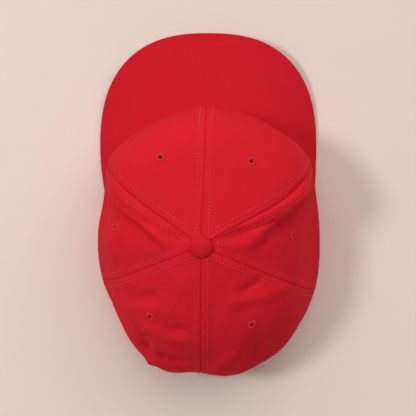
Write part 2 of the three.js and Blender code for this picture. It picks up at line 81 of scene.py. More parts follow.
SNAP_COUNT = 6
SNAP_PITCH = 9 * MM
SNAP_END = 6 * MM
PEG_RADIUS = 1.9 * MM
PEG_PROUD = 1.2 * MM
BUTTON_RADIUS = 8 * MM
BUTTON_HEIGHT = 4.4 * MM
SHANK_RADIUS = 2.6 * MM
EYELET_RADIUS = 3.6 * MM
EYELET_HOLE_RADIUS = 0.95 * MM

# The seams, as degrees round the hem from the front towards the wearer's left
SEAMS = {
    "front": 1.0,
    "front_left": 55.0,
    "back_left": 114.0,
    "back": 176.4,
    "back_right": 242.0,
    "front_right": 305.0,
}
PANELS = [
    ("front_left", "front", "front_left"),
    ("side_left", "front_left", "back_left"),
    ("back_left", "back_left", "back"),
    ("back_right", "back", "back_right"),
    ("side_right", "back_right", "front_right"),
    ("front_right", "front_right", "front"),
]


def table(columns, rows):
    """Rows as dictionaries by column name."""
    return [dict(zip(columns.split(), row)) for row in rows]


# The crown's meridians, in shares, as in the part
MERIDIANS = table("angle reach topOut topUp ridgeOut ridgeUp wallOut wallUp swing", [
    (1, 1, 0.4, 0.965, 0.795, 0.87, 0.925, 0.62, 0),
    (28, 1.01, 0.405, 0.965, 0.795, 0.85, 0.935, 0.6, 0),
    (55, 1.053, 0.43, 0.935, 0.8, 0.77, 0.945, 0.5, 0.045),
    (70, 0.993, 0.42, 0.915, 0.78, 0.7, 0.885, 0.4, 0.02),
    (90, 1.002, 0.42, 0.925, 0.82, 0.69, 0.91, 0.38, 0),
    (114, 1.023, 0.41, 0.895, 0.74, 0.69, 0.88, 0.41, 0),
    (130, 1.03, 0.41, 0.895, 0.78, 0.68, 0.94, 0.4, 0),
    (146, 1.055, 0.42, 0.9, 0.82, 0.68, 1, 0.38, 0),
    (160, 1.035, 0.43, 0.91, 0.84, 0.7, 1.06, 0.42, 0),
    (177, 0.985, 0.43, 0.915, 0.83, 0.74, 1.055, 0.45, 0),
    (184, 0.99, 0.43, 0.912, 0.835, 0.72, 1.08, 0.45, 0),
    (197, 1.02, 0.43, 0.905, 0.84, 0.7, 1.05, 0.42, 0),
    (212, 1.06, 0.42, 0.9, 0.8, 0.69, 1, 0.38, 0),
    (226, 1.075, 0.41, 0.895, 0.76, 0.69, 0.93, 0.4, 0),
    (242, 1.05, 0.41, 0.885, 0.73, 0.68, 0.88, 0.4, 0),
    (268, 1, 0.38, 0.925, 0.72, 0.7, 0.86, 0.4, 0),
    (290, 1.015, 0.42, 0.89, 0.74, 0.69, 0.88, 0.4, -0.02),
    (305, 1.06, 0.43, 0.935, 0.8, 0.77, 0.945, 0.5, -0.085),
    (332, 1.01, 0.405, 0.965, 0.795, 0.85, 0.935, 0.6, 0),
])
STATIONS = np.array([0, 0.27, 0.54, 0.74, 1])
SWING_LOWERED = 1.6

# The part's folds, as shares of the crown's rise and the hem's half width, with plainer ones at the sides
FOLD_COLUMNS = "fromAngle fromStation toAngle toStation depth width"
FOLDS = table(FOLD_COLUMNS, [
    (70, 0.6, 92, 0.25, -0.008, 0.06),
    (294, 0.58, 268, 0.31, -0.01, 0.08),
    (122, 0.66, 136, 0.38, -0.018, 0.085),
    (131, 0.57, 142, 0.42, 0.008, 0.08),
    (138, 0.67, 165, 0.42, -0.014, 0.09),
    (146, 0.52, 168, 0.48, 0.014, 0.08),
    (147, 0.61, 151, 0.68, -0.045, 0.1),
    (160, 0.63, 168, 0.64, -0.04, 0.09),
    (206, 0.305, 238, 0.505, 0.014, 0.08),
    (219.5, 0.295, 234, 0.33, -0.013, 0.06),
    (181.5, 0.675, 191.5, 0.575, 0.018, 0.07),
    (200, 0.66, 206, 0.58, -0.016, 0.07),
    (118, 0.86, 131, 0.72, -0.018, 0.07),
    (155, 0.82, 156, 0.7, 0.02, 0.06),
])
FOLD_FADE = 0.12
FOLD_STEEPNESS = 2

# Sharper creases, which only the cloth's finish shows
CREASES = table(FOLD_COLUMNS, [
    (121, 0.66, 134, 0.38, -0.003, 0.03),
    (138, 0.62, 164, 0.42, -0.004, 0.035),
    (150, 0.66, 154, 0.68, -0.014, 0.08),
    (165, 0.64, 172, 0.64, -0.014, 0.08),
    (136, 0.62, 150, 0.53, -0.006, 0.06),
    (185, 0.4, 192, 0.5, -0.003, 0.04),
    (221, 0.3, 233, 0.34, -0.006, 0.02),
])

# The stiff front runs on past its side seams as shelves, which end in creases between two places
SHELVES = table("seam fromAngle fromStation toAngle toStation height drop power", [
    ("front_left", 65, 0.66, 92.5, 0.2, 5.6 * MM, 5 * MM, 0.85),
    ("front_right", 299, 0.622, 267, 0.25, 7.2 * MM, 9.5 * MM, 0.6),
])
SHELF_RISES = (-0.25, 0.12)
SHELF_FALLS = (0.75, 1.1)
SHELF_LIP = 0.25
SHELF_SWEEP = 90

EYELETS = table("name angle station", [
    ("front_left", 29, 0.46),
    ("side_left", 82, 0.503),
    ("back_left", 143.5, 0.45),
    ("back_right", 208, 0.445),
    ("side_right", 272.5, 0.54),
    ("front_right", 330.5, 0.44),
])

# The part's design origin in the row's frame, from where its button stands
button_low, button_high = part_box("button")
ORIGIN = np.array([
    (button_low.x + button_high.x) / 2 - TOP_TO_WEARERS_LEFT,
    (button_low.y + button_high.y) / 2 - TOP_TO_BACK,
    0.0,
])


def smoothstep(low, high, value):
    share = np.clip((value - low) / (high - low), 0, 1)
    return share * share * (3 - 2 * share)


def hermite(start, end, start_rise, end_rise, share):
    """A cubic through one stretch of a curve."""
    s2, s3 = share**2, share**3
    return (
        (2 * s3 - 3 * s2 + 1) * start
        + (s3 - 2 * s2 + share) * start_rise
        + (3 * s2 - 2 * s3) * end
        + (s3 - s2) * end_rise
    )


def middle_slope(before, here, after, step_before, step_after):
    slope_before = (here - before) / step_before
    slope_after = (after - here) / step_after
    return (slope_before * step_after + slope_after * step_before) / (step_before + step_after)


ROW_ANGLES = np.array([row["angle"] for row in MERIDIANS], float)
HALVINGS = 30
HEM_HALVINGS = 40
TINY = 1e-12


def around(name, angle):
    """A smooth value round the hem, through the named column of the meridians."""
    values = np.array([row[name] for row in MERIDIANS], float)
    count = len(values)
    turned = ROW_ANGLES[0] + np.mod(np.asarray(angle, float) - ROW_ANGLES[0], FULL_TURN)
    index = np.searchsorted(ROW_ANGLES, turned, side="right") - 1

    def at(k):
        return ROW_ANGLES[k % count] + np.floor(k / count) * FULL_TURN, values[k % count]

    (angle_a, a), (angle_b, b), (angle_c, c), (angle_d, d) = [at(index + k) for k in (-1, 0, 1, 2)]
    step = angle_c - angle_b
    slope_b = middle_slope(a, b, c, angle_b - angle_a, step)
    slope_c = middle_slope(b, c, d, step, angle_d - angle_c)
    return hermite(b, c, slope_b * step, slope_c * step, (turned - angle_b) / step)


def down(values, station, level_at_top):
    """A smooth value down one meridian, through its five stations."""
    steps = np.diff(STATIONS)
    last = len(STATIONS) - 1
    slopes = [0.0] * (last + 1)
    for k in range(1, last):
        slopes[k] = middle_slope(values[k - 1], values[k], values[k + 1], steps[k - 1], steps[k])
    if not level_at_top:
        slopes[0] = 1.5 * (values[1] - values[0]) / steps[0] - slopes[1] / 2
    slopes[last] = 1.5 * (values[last] - values[last - 1]) / steps[-1] - slopes[last - 1] / 2
    result = 0.0
    for k in range(last):
        share = (station - STATIONS[k]) / steps[k]
        piece = hermite(values[k], values[k + 1], slopes[k] * steps[k], slopes[k + 1] * steps[k], share)
        inside_stretch = (station >= STATIONS[k]) & ((station < STATIONS[k + 1]) | (k == last - 1))
        result = result + np.where(inside_stretch, piece, 0.0)
    return result


def hem_plan(angle):
    a = np.radians(angle)
    scale = np.hypot(HEM_HALF_WIDTH * np.cos(a), HEM_HALF_LENGTH * np.sin(a))
    distance = HEM_HALF_LENGTH * HEM_HALF_WIDTH / scale * around("reach", angle)
    return distance * np.sin(a), -distance * np.cos(a)


left_tip = hem_plan(VISOR_END_ANGLE)[0] - VISOR_TO_WEARERS_LEFT
right_tip = VISOR_TO_WEARERS_LEFT - hem_plan(-VISOR_END_ANGLE)[0]
VISOR_HALF_WIDTH = max(left_tip, right_tip) + VISOR_PROUD_OF_HEM
VISOR_ROOT_Y = hem_plan(0.0)[1]
HEM_FALL_START = VISOR_END_ANGLE + HEM_HOLD_ANGLES
HEM_FALL_END = HEM_FALL_START + HEM_FALL_ANGLES


def visor_top(x, y):
    middle = VISOR_RISE + VISOR_THICKNESS + (y - VISOR_ROOT_Y) * VISOR_SLOPE
    return middle - (middle - VISOR_THICKNESS) * ((x - VISOR_TO_WEARERS_LEFT) / VISOR_HALF_WIDTH) ** 2


def from_front(angle):
    return np.abs(np.mod(np.asarray(angle, float) + FULL_TURN / 2, FULL_TURN) - FULL_TURN / 2)


def share_on_visor(angle):
    return 1 - smoothstep(HEM_FALL_START, HEM_FALL_END, from_front(angle))


def hem_height(angle, x, y):
    return share_on_visor(angle) * (visor_top(x, y) + CLEARANCE)


def smooth_crown(angle, station):
    """The crown's outer face before its folds, in the part's design frame."""
    angle, station = np.broadcast_arrays(np.asarray(angle, float), np.asarray(station, float))
    hem_x, hem_y = hem_plan(angle)
    outs = [0 * angle, *(around(name, angle) for name in ("topOut", "ridgeOut", "wallOut")), 1 + 0 * angle]
    hem_up = hem_height(angle, hem_x, hem_y) / CROWN_RISE
    ups = [1 + 0 * angle, *(around(name, angle) for name in ("topUp", "ridgeUp", "wallUp")), hem_up]
    out = down(outs, station, False)
    up = down(ups, station, True)
    along_x, along_y = hem_x - TOP_TO_WEARERS_LEFT, hem_y - TOP_TO_BACK
    length = np.hypot(along_x, along_y)
    bow = around("swing", angle) * HEM_HALF_WIDTH * np.sin(np.pi * np.clip(out, 0, 1) ** SWING_LOWERED)
    return np.stack(
        [
            TOP_TO_WEARERS_LEFT + along_x * out - along_y / length * bow,
            TOP_TO_BACK + along_y * out + along_x / length * bow,
            CROWN_RISE * up,
        ],
        axis=-1,
    )


def unit(vectors):
    return vectors / np.maximum(np.linalg.norm(vectors, axis=-1, keepdims=True), TINY)


def lengths_along(points, axis=0):
    """How far the points of paths lie from their starts. The paths run along the given axis."""
    steps = np.linalg.norm(np.diff(points, axis=axis), axis=-1)
    return np.concatenate([np.zeros_like(steps.take([0], axis)), np.cumsum(steps, axis=axis)], axis=axis)


def edge_fall(distance, radius):
    """How far a rounded edge falls back at a distance from it."""
    share = np.clip(distance / radius, 0, 1)
    return radius * (1 - np.sqrt(1 - (1 - share) ** 2))


ANGLE_STEP = 0.05
STATION_STEP = 0.0005


def normal_of(surface, angle, station):
    high = np.minimum(station + STATION_STEP, 1)
    low = high - 2 * STATION_STEP
    across_it = surface(angle + ANGLE_STEP, station) - surface(angle - ANGLE_STEP, station)
    down_it = surface(angle, high) - surface(angle, low)
    return unit(np.cross(down_it, across_it))


def fold_depth(points, folds):
    """The sum of the folds' depths at points of the crown."""
    depth = np.zeros(points.shape[:-1])
    for fold in folds:
        start = smooth_crown(fold["fromAngle"], fold["fromStation"])
        end = smooth_crown(fold["toAngle"], fold["toStation"])
        along = end - start
        share = np.clip(((points - start) @ along) / (along @ along), 0, 1)
        distance = np.linalg.norm(points - start - share[..., None] * along, axis=-1)
        width = fold["width"] * HEM_HALF_WIDTH
        depth += fold["depth"] * CROWN_RISE * np.exp(-((distance / width) ** 2) * FOLD_STEEPNESS)
    return depth


def shelf_height(angle, station):
    """How far the shelves beyond the front's side seams stand out."""
    point = smooth_crown(angle, station)
    height = np.zeros(point.shape[:-1])
    for shelf in SHELVES:
        seam = SEAMS[shelf["seam"]]
        side = 1 if shelf["seam"] == "front_left" else -1
        turned = np.mod(side * (angle - seam), FULL_TURN)
        start = smooth_crown(shelf["fromAngle"], shelf["fromStation"])[:2]
        along = smooth_crown(shelf["toAngle"], shelf["toStation"])[:2] - start
        length = np.hypot(*along)
        away = point[..., :2] - start
        run = (away @ along) / length**2
        short_of_crease = side * (away[..., 1] * along[0] - away[..., 0] * along[1]) / length
        at_seam = smooth_crown(seam + 0 * angle, station)
        from_seam = np.linalg.norm((point - at_seam)[..., :2], axis=-1)
        share = from_seam / (from_seam + np.maximum(short_of_crease, 0) + 0.01 * MM)
        drop = 1 - smoothstep(-SHELF_LIP * shelf["drop"], shelf["drop"], -short_of_crease)
        ends = smoothstep(*SHELF_RISES, run) * (1 - smoothstep(*SHELF_FALLS, run))
        height += np.where(turned < SHELF_SWEEP, shelf["height"] * ends * share ** shelf["power"] * drop, 0)
    return height


def crown(angle, station):
    """The crown's outer face, with its folds and its shelves."""
    point = smooth_crown(angle, station)
    fade = smoothstep(0, FOLD_FADE, 1 - station)
    depth = fold_depth(point, FOLDS) * fade + shelf_height(angle, station)
    return point + normal_of(smooth_crown, angle, station) * depth[..., None]


LEVEL_FROM = 0.9


def inward(angle, station):
    """The direction through the wall: against the normal, and level at the hem."""
    normal = normal_of(crown, angle, station)
    level = normal * np.array([1, 1, 0])
    level = level / np.sum(level**2, axis=-1, keepdims=True)
    share = smoothstep(LEVEL_FROM, 1, station)[..., None]
    return -(normal * (1 - share) + level * share)


def inside(angle, station, depth):
    return crown(angle, station) + inward(angle, station) * np.asarray(depth)[..., None]


def halved(low, high, still_low, rounds=HALVINGS):
    """The two values, very close to each other, between which a test stops being true."""
    for _ in range(rounds):
        middle = (low + high) / 2
        is_low = still_low(middle)
        low, high = np.where(is_low, middle, low), np.where(is_low, high, middle)
    return low, high


def station_at_radius(angle, radius):
    def still_near(station):
        point = smooth_crown(angle, station)
        return np.hypot(point[..., 0] - TOP_TO_WEARERS_LEFT, point[..., 1] - TOP_TO_BACK) < radius

    return halved(np.zeros_like(angle), np.ones_like(angle), still_near)[1]


def arch_level(point):
    """Below 0 inside the back arch, 0 on its edge and above 0 outside."""
    return np.hypot(point[..., 0] / (ARCH_WIDTH / 2), point[..., 2] / ARCH_HEIGHT) - 1


FAR = 1.0
HIGHEST_FOOT = 0.6


def arch_distance(point):
    """About how far a point of the back lies outside the arch's edge. The front is far from it."""
    half = ARCH_WIDTH / 2
    x, z = point[..., 0], point[..., 2]
    scaled = np.maximum(np.hypot(x / half, z / ARCH_HEIGHT), 1e-6)
    steepness = np.hypot(x / half**2, z / ARCH_HEIGHT**2) / scaled
    return np.where(point[..., 1] > 0, (scaled - 1) / steepness, FAR)


def lowest_station(angle):
    """Where a meridian ends: at the hem, or at the edge of the back arch."""
    at_hem = smooth_crown(angle, np.ones_like(angle))
    under_arch = (arch_level(at_hem) < 0) & (at_hem[..., 1] > 0)
    highest = np.full_like(angle, HIGHEST_FOOT)
    foot = halved(highest, np.ones_like(angle), lambda station: arch_level(crown(angle, station)) >= 0)[0]
    return np.where(under_arch, foot, 1.0)


MERIDIAN_SAMPLES = 160


def station_above(angle, length):
    """The stations that lie given lengths up the meridians from the hem, one row of lengths an angle."""
    fine = np.linspace(1, 0, MERIDIAN_SAMPLES)
    climbed = lengths_along(crown(angle[:, None] + 0 * fine, fine + 0 * angle[:, None]), 1)
    return np.stack([np.interp(wanted, one, fine) for wanted, one in zip(length, climbed)])


def above(angle, length, depth):
    """Places inside the crown by their lengths up from the hem. Below the hem they go straight down."""
    station = station_above(angle, np.maximum(length, 0))
    point = inside(angle[:, None] + 0 * station, station, depth)
    point[..., 2] += np.minimum(length, 0)
    return point


WAVE_COUNT = 9
WAVE_SPREAD = (0.7, 1.5)


def ripple(points, wavelength, seed):
    """A soft unevenness between about -1 and 1, from waves in seeded directions."""
    random = np.random.default_rng(seed)
    total = np.zeros(points.shape[:-1])
    for _ in range(WAVE_COUNT):
        direction = unit(random.normal(size=3))
        length = wavelength * random.uniform(*WAVE_SPREAD)
        total += np.sin(points @ direction * (2 * np.pi / length) + random.uniform(0, 2 * np.pi))
    return total / np.sqrt(WAVE_COUNT)


# Meshes
SHARP_ANGLE = 40.0
SHELL_SHARP_ANGLE = 50


def mesh_object(name, points, faces, material, uv=None, tone=None, sharp=SHARP_ANGLE):
    """An object of a mesh given in the part's design frame, smooth except at sharp edges."""
    mesh = bpy.data.meshes.new(name)
    mesh.from_pydata((points + ORIGIN).tolist(), [], faces.tolist() if hasattr(faces, "tolist") else faces)
    loops = np.empty(len(mesh.loops), np.int32)
    mesh.loops.foreach_get("vertex_index", loops)
    if uv is not None:
        layer = mesh.uv_layers.new(name="cloth")
        layer.data.foreach_set("uv", uv[loops].astype(np.float32).ravel())
    if tone is not None:
        layer = mesh.attributes.new("tone", "FLOAT", "POINT")
        layer.data.foreach_set("value", tone.astype(np.float32))
    mesh.validate()
    mesh.polygons.foreach_set("use_smooth", np.ones(len(mesh.polygons), bool))
    mesh.set_sharp_from_angle(angle=math.radians(sharp))
    mesh.materials.append(material)
    thing = bpy.data.objects.new(name, mesh)
    bpy.context.scene.collection.objects.link(thing)
    return thing


def grid_faces(columns, rows, start=0, flip=False):
    """Quads over a grid of points with rows + 1 points a column."""
    i = np.arange(columns)[:, None]
    j = np.arange(rows)[None, :]
    a = start + i * (rows + 1) + j
    b = a + 1
    c = start + (i + 1) * (rows + 1) + j + 1
    d = c - 1
    faces = np.stack(np.broadcast_arrays(a, b, c, d), axis=-1).reshape(-1, 4)
    return faces[:, ::-1] if flip else faces


def shell_faces(columns, rows):
    """The faces of a closed wall between two grids, the outer one first."""
    size = (columns + 1) * (rows + 1)
    faces = [grid_faces(columns, rows), grid_faces(columns, rows, size, flip=True)]
    i, j = np.arange(columns), np.arange(rows)

    def at(column, row):
        return column * (rows + 1) + row

    low, high = at(i, rows), at(i + 1, rows)
    faces.append(np.stack([low, low + size, high + size, high], axis=-1))
    low, high = at(i, 0), at(i + 1, 0)
    faces.append(np.stack([low, high, high + size, low + size], axis=-1))
    low, high = at(0, j), at(0, j + 1)
    faces.append(np.stack([low, low + size, high + size, high], axis=-1))
    low, high = at(columns, j), at(columns, j + 1)
    faces.append(np.stack([low, high, high + size, low + size], axis=-1))
    return np.concatenate(faces)


def shell_object(name, outer, inner, material, uv=None, tones=None):
    """A closed wall between two grids of points, with one plan for both faces and a tone for each."""
    points = np.concatenate([outer.reshape(-1, 3), inner.reshape(-1, 3)])
    faces = shell_faces(outer.shape[0] - 1, outer.shape[1] - 1)
    uv = None if uv is None else np.tile(uv.reshape(-1, 2), (2, 1))
    tone = None if tones is None else np.concatenate([one.ravel() for one in tones])
    return mesh_object(name, points, faces, material, uv, tone, SHELL_SHARP_ANGLE)


def tube_faces(rings, sides, start=0):
    """Quads between rings of points."""
    faces = []
    for i in range(rings - 1):
        for j in range(sides):
            a, b = start + i * sides + j, start + i * sides + (j + 1) % sides
            faces.append([a, b, b + sides, a + sides])
    return faces


def finish_piece(thing, slot, *nodes):
    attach(thing, "root")
    if nodes:
        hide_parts(*nodes)
    return thing


def apply_modifiers(thing):
    """Bakes a piece's modifiers into its mesh."""
    graph = bpy.context.evaluated_depsgraph_get()
    made = bpy.data.meshes.new_from_object(thing.evaluated_get(graph))
    made.name = thing.name
    thing.modifiers.clear()
    thing.data = made


def combine(thing, operation, others):
    """Cuts others out of a piece or joins them to it, and removes them."""
    for other in others:
        modifier = thing.modifiers.new("combine", "BOOLEAN")
        modifier.operation = operation
        modifier.solver = "EXACT"
        modifier.object = other
    bpy.context.view_layer.update()
    apply_modifiers(thing)
    for other in others:
        bpy.data.objects.remove(other)


def rod(radius, centre, axis, length, sides, material):
    """A round rod, for cutting and for pegs."""
    turn = np.linspace(0, 2 * np.pi, sides, endpoint=False)
    axis = unit(np.asarray(axis, float))
    first = unit(np.cross(axis, [0.3, 0.2, 1.0]))
    second = np.cross(axis, first)
    ring = radius * (np.cos(turn)[:, None] * first + np.sin(turn)[:, None] * second)
    points = np.concatenate([centre - axis * length / 2 + ring, centre + axis * length / 2 + ring])
    faces = [[k, (k + 1) % sides, sides + (k + 1) % sides, sides + k] for k in range(sides)]
    faces.append(list(range(sides))[::-1])
    faces.append(list(range(sides, 2 * sides)))
    return mesh_object("rod", points, faces, material)


# Crown panels
SEAM_ZONE = np.array([0, 0.12, 0.28, 0.48, 0.75, 1.1, 1.6, 2.2, 2.9, 3.6, 4.2, 4.8, 5.4, 6.1, 7]) * MM
EDGE_ZONE = np.array([0, 0.1, 0.25, 0.45, 0.7, 1.0, 1.5, 2.0, 2.5, 3.0, 3.7, 4.5]) * MM
CLOTH_STEP = 1.15 * MM
STITCH_FROM_SEAM = 4.8 * MM
HEM_STITCHES = np.array([2.6, 9.4]) * MM
ARCH_STITCHES = np.array([3.0, 8.0]) * MM
TOP_HOLE_RADIUS = SHANK_RADIUS + CLEARANCE
EDGE_RADIUS = 0.75 * MM
SEAM_FOLDED = (5.2 * MM, 8 * MM)
HEM_FOLDED = (10 * MM, 12 * MM)
ARCH_FOLDED = (8.6 * MM, 10.6 * MM)
SEAM_THICKER = 0.25 * MM
EDGE_THICKER = 0.3 * MM
THICKER_AT_MOST = 0.5 * MM
SEAM_PULL = 0.24 * MM
SEAM_PULL_WIDTH = 0.7 * MM
EDGE_PULL = 0.2 * MM
EDGE_PULL_WIDTH = 0.8 * MM
SEAM_GROOVE = 0.45 * MM
LONG_WAVE = 30 * MM
SHORT_WAVE = 11 * MM
STIFF_WAVES, SOFTER_WAVES = (0.12, 0.03), (0.33, 0.07)
WAVES_CALM_AT_SEAM = (2 * MM, 14 * MM)
PUCKER_LENGTH = 5 * MM
PUCKER_HEIGHT = 0.12 * MM
PUCKERS_FROM_SEAM = 3 * MM
PUCKERS_FROM_HEM = 5 * MM
CALM_HEM = 4 * MM
CALM_TOP = 0.05
# Painted shade in each seam's groove and along its stitch row, and a painted highlight on the ridge between
# them
SEAM_SHADE = 0.12
STITCH_SHADE = 0.1
SHADE_WIDTH = 0.6 * MM
RIDGE_LIGHT = 0.05
INNER_TONE = 0.9
PANEL_COLUMNS = 100
PANEL_SAMPLES = 91
ARCH_SAMPLES = 50


def hem_angle(x):
    """The angle round the back at which the hem lies a given distance to the wearer's left."""
    low, high = FULL_TURN / 3, FULL_TURN * 2 / 3
    return float(halved(low, high, lambda angle: hem_plan(angle)[0] > x, HEM_HALVINGS)[0])


ARCH_FEET = [hem_angle(ARCH_WIDTH / 2), hem_angle(-ARCH_WIDTH / 2)]


def seam_distances(angle, station, start, end):
    """How far a place lies from the panel's two seams."""
    across = smooth_crown(angle + 0.5, station) - smooth_crown(angle - 0.5, station)
    per_degree = np.linalg.norm(across, axis=-1)
    return (angle - start) * per_degree, (end - angle) * per_degree


def groove(distance, width):
    return np.exp(-((distance / width) ** 2))


def above_hem(angle, point):
    """How high a place is above the hem below it."""
    hem_x, hem_y = hem_plan(angle)
    return point[..., 2] - hem_height(angle, hem_x, hem_y)


def relief(angle, station, panel):
    """How far the finished cloth stands out from the crown's plain surface, and its tone, which holds
    painted shade along the seams and stitch rows and a painted highlight on the ridge between them.
    """
    start, end, soft, seed = panel
    point = smooth_crown(angle, station)
    near = np.minimum(*seam_distances(angle, station, start, end))
    hem = above_hem(angle, point)
    arch = arch_distance(point)
    on_visor = share_on_visor(angle)

    # Cloth folded double along seams, hem and arch, pulled in under each row of stitches
    double = SEAM_THICKER * (1 - smoothstep(*SEAM_FOLDED, near))
    double += EDGE_THICKER * (1 - smoothstep(*HEM_FOLDED, hem)) * (1 - on_visor)
    double += EDGE_THICKER * (1 - smoothstep(*ARCH_FOLDED, arch))
    double = np.minimum(double, THICKER_AT_MOST)
    pulled = SEAM_PULL * groove(near - STITCH_FROM_SEAM, SEAM_PULL_WIDTH)
    for row in HEM_STITCHES:
        pulled += EDGE_PULL * groove(hem - row, EDGE_PULL_WIDTH) * (1 - on_visor)
    for row in ARCH_STITCHES:
        pulled += EDGE_PULL * groove(arch - row, EDGE_PULL_WIDTH)
    seam = SEAM_GROOVE * groove(near, SEAM_GROOVE)

    # Unevenness of the cloth: puckers beside the seams, and soft waves over the panels
    long_height, short_height = (stiff + more * soft for stiff, more in zip(STIFF_WAVES, SOFTER_WAVES))
    waves = ripple(point, LONG_WAVE, seed) * long_height * MM
    waves += ripple(point, SHORT_WAVE, seed + 1) * short_height * MM
    waves *= smoothstep(*WAVES_CALM_AT_SEAM, near)
    puckers = ripple(point, PUCKER_LENGTH, seed + 2) * PUCKER_HEIGHT
    at_hem = groove(hem - PUCKERS_FROM_HEM, 4 * MM) * (1 - on_visor)
    puckers *= groove(near - PUCKERS_FROM_SEAM, 3 * MM) + at_hem
    creases = fold_depth(point, CREASES) * soft

    # The outer edge at hem and arch is rounded
    rounding = edge_fall(np.minimum(np.where(on_visor > 0.5, FAR, hem), arch), EDGE_RADIUS)

    calm = smoothstep(0, CALM_HEM, hem) * smoothstep(0, CALM_TOP, station)
    out = double - pulled - seam + (waves + puckers + creases) * calm
    # Painted shade darkens the seam's groove and its stitch row, and a painted highlight lightens the
    # folded cloth between them
    tone = 1 - SEAM_SHADE * groove(near, SHADE_WIDTH)
    tone -= STITCH_SHADE * groove(near - STITCH_FROM_SEAM, SHADE_WIDTH)
    tone += RIDGE_LIGHT * groove(near - 2.6 * MM, 1.6 * MM)
    return out * smoothstep(0, 0.8 * MM, hem + 0.4 * MM), rounding, tone


def cloth(angle, station, panel):
    """A place on the finished outer face, and the direction in through the wall."""
    out, rounding, tone = relief(angle, station, panel)
    into = inward(angle, station)
    return crown(angle, station) - into * (out - rounding)[..., None], into, tone


def column_distances(width):
    """Distances across a panel, closest beside its seams."""
    zone = SEAM_ZONE * min(1, 0.3 * width / SEAM_ZONE[-1])
    middle = np.linspace(zone[-1], width - zone[-1], PANEL_COLUMNS - 2 * len(zone) + 3)[1:-1]
    return np.concatenate([zone, middle, width - zone[::-1]])


def panel_piece(name, panel):
    start, end = panel[:2]
    samples = np.linspace(start, end, PANEL_SAMPLES)
    for foot, seam in zip(ARCH_FEET, (end, start)):
        if start < foot < end:
            closer = np.linspace(0, 1, ARCH_SAMPLES) ** 2
            samples = np.concatenate([samples, foot + (seam - foot) * closer])
    samples = np.unique(np.round(samples, 6))
    top = station_at_radius(samples, TOP_HOLE_RADIUS)
    bottom = lowest_station(samples)
    fine = top[:, None] + (bottom - top)[:, None] * np.linspace(0, 1, MERIDIAN_SAMPLES)
    climbed = lengths_along(crown(samples[:, None] + 0 * fine, fine), 1)
    usual = np.median(climbed[:, -1])
    inner_rows = int(round((usual - EDGE_ZONE[-1]) / CLOTH_STEP))
    inner_lengths = np.linspace(0, usual - EDGE_ZONE[-1], inner_rows)
    lengths = np.concatenate([inner_lengths, (usual - EDGE_ZONE[:-1])[::-1]])
    shares = lengths / usual
    stations = np.stack([np.interp(shares * c[-1], c, f) for c, f in zip(climbed, fine)])
    across = lengths_along(crown(samples[:, None] + 0 * stations, stations))
    angle = np.empty((PANEL_COLUMNS + 1, len(shares)))
    station, u = np.empty_like(angle), np.empty_like(angle)
    for j in range(len(shares)):
        wanted = column_distances(across[-1, j])
        angle[:, j] = np.interp(wanted, across[:, j], samples)
        station[:, j] = np.interp(wanted, across[:, j], stations[:, j])
        u[:, j] = wanted - across[-1, j] / 2
    outer, into, tone = cloth(angle, station, panel)
    rounding = edge_fall(above_hem(angle, outer), EDGE_RADIUS) * (1 - share_on_visor(angle))
    inner = crown(angle, station) + into * (CROWN_WALL - rounding)[..., None]
    last = inner[:, -1]
    foot = station[:, -1] >= 1
    last[:, 2] = np.where(foot, hem_height(angle[:, -1], last[:, 0], last[:, 1]), last[:, 2])
    uv = np.stack([u, np.broadcast_to(lengths, angle.shape)], axis=-1)
    tones = (tone, np.full_like(tone, INNER_TONE))
    thing = shell_object("cloth_" + name, outer, inner, crown_material, uv, tones)
    return finish_piece(thing, "crown_cloth", "panel_" + name)


# Materials
def new_material(name):
    made = bpy.data.materials.new(name)
    made.use_nodes = True
    return made, made.node_tree, made.node_tree.nodes["Principled BSDF"]


def fill(node, values):
    """Sets a node's inputs by name."""
    for name, value in values.items():
        node.inputs[name].default_value = value


def math_node(tree, operation, *values):
    node = tree.nodes.new("ShaderNodeMath")
    node.operation = operation
    for socket, value in zip(node.inputs, values):
        if isinstance(value, (int, float)):
            socket.default_value = value
        else:
            tree.links.new(value, socket)
    return node.outputs[0]


def noise_node(tree, where, scale, detail=3.0, roughness=0.5):
    node = tree.nodes.new("ShaderNodeTexNoise")
    fill(node, {"Scale": scale, "Detail": detail, "Roughness": roughness})
    tree.links.new(where, node.inputs["Vector"])
    return node.outputs["Fac"]


def ramp_node(tree, value, colour, contrast):
    """A colour that goes from a darker to a lighter one with a noise's value."""
    node = tree.nodes.new("ShaderNodeMapRange")
    fill(node, {"From Min": 0.3, "From Max": 0.7})
    tree.links.new(value, node.inputs["Value"])
    mixed = tree.nodes.new("ShaderNodeMix")
    mixed.data_type = "RGBA"
    tree.links.new(node.outputs["Result"], mixed.inputs["Factor"])
    for socket, factor in ((mixed.inputs["A"], 1 - contrast), (mixed.inputs["B"], 1 + contrast)):
        socket.default_value = (*shade(colour, factor), 1)
    return mixed.outputs["Result"]


def scaled_colour(tree, colour, factor):
    node = tree.nodes.new("ShaderNodeVectorMath")
    node.operation = "SCALE"
    tree.links.new(colour, node.inputs[0])
    tree.links.new(factor, node.inputs["Scale"])
    return node.outputs[0]


def bump_node(tree, shader, height, strength, distance):
    node = tree.nodes.new("ShaderNodeBump")
    fill(node, {"Strength": strength, "Distance": distance})
    tree.links.new(height, node.inputs["Height"])
    tree.links.new(node.outputs["Normal"], shader.inputs["Normal"])


def linear(*colour):
    """A colour of an sRGB picture, all of it above the darkest few levels, as linear light."""
    return tuple(((c / 255 + 0.055) / 1.055) ** 2.4 for c in colour)


def shade(colour, factor):
    return tuple(c * factor for c in colour)


# Cloth: noises by size, then shares of the twill's diagonal line, of the weft and of the fuzz in its colour
BLOTCH_SCALE, WOBBLE_SCALE, FUZZ_SCALE = 55.0, 700.0, 1500.0
DIAGONAL = (0.62, 0.78)
WOBBLE = 7.0
WEFT_PITCH = 0.72
LINE_SHARE, WEFT_SHARE = 0.5, 0.25
WEAVE_CONTRAST, FUZZ_CONTRAST, BLOTCH_CONTRAST = 0.06, 0.35, 0.025


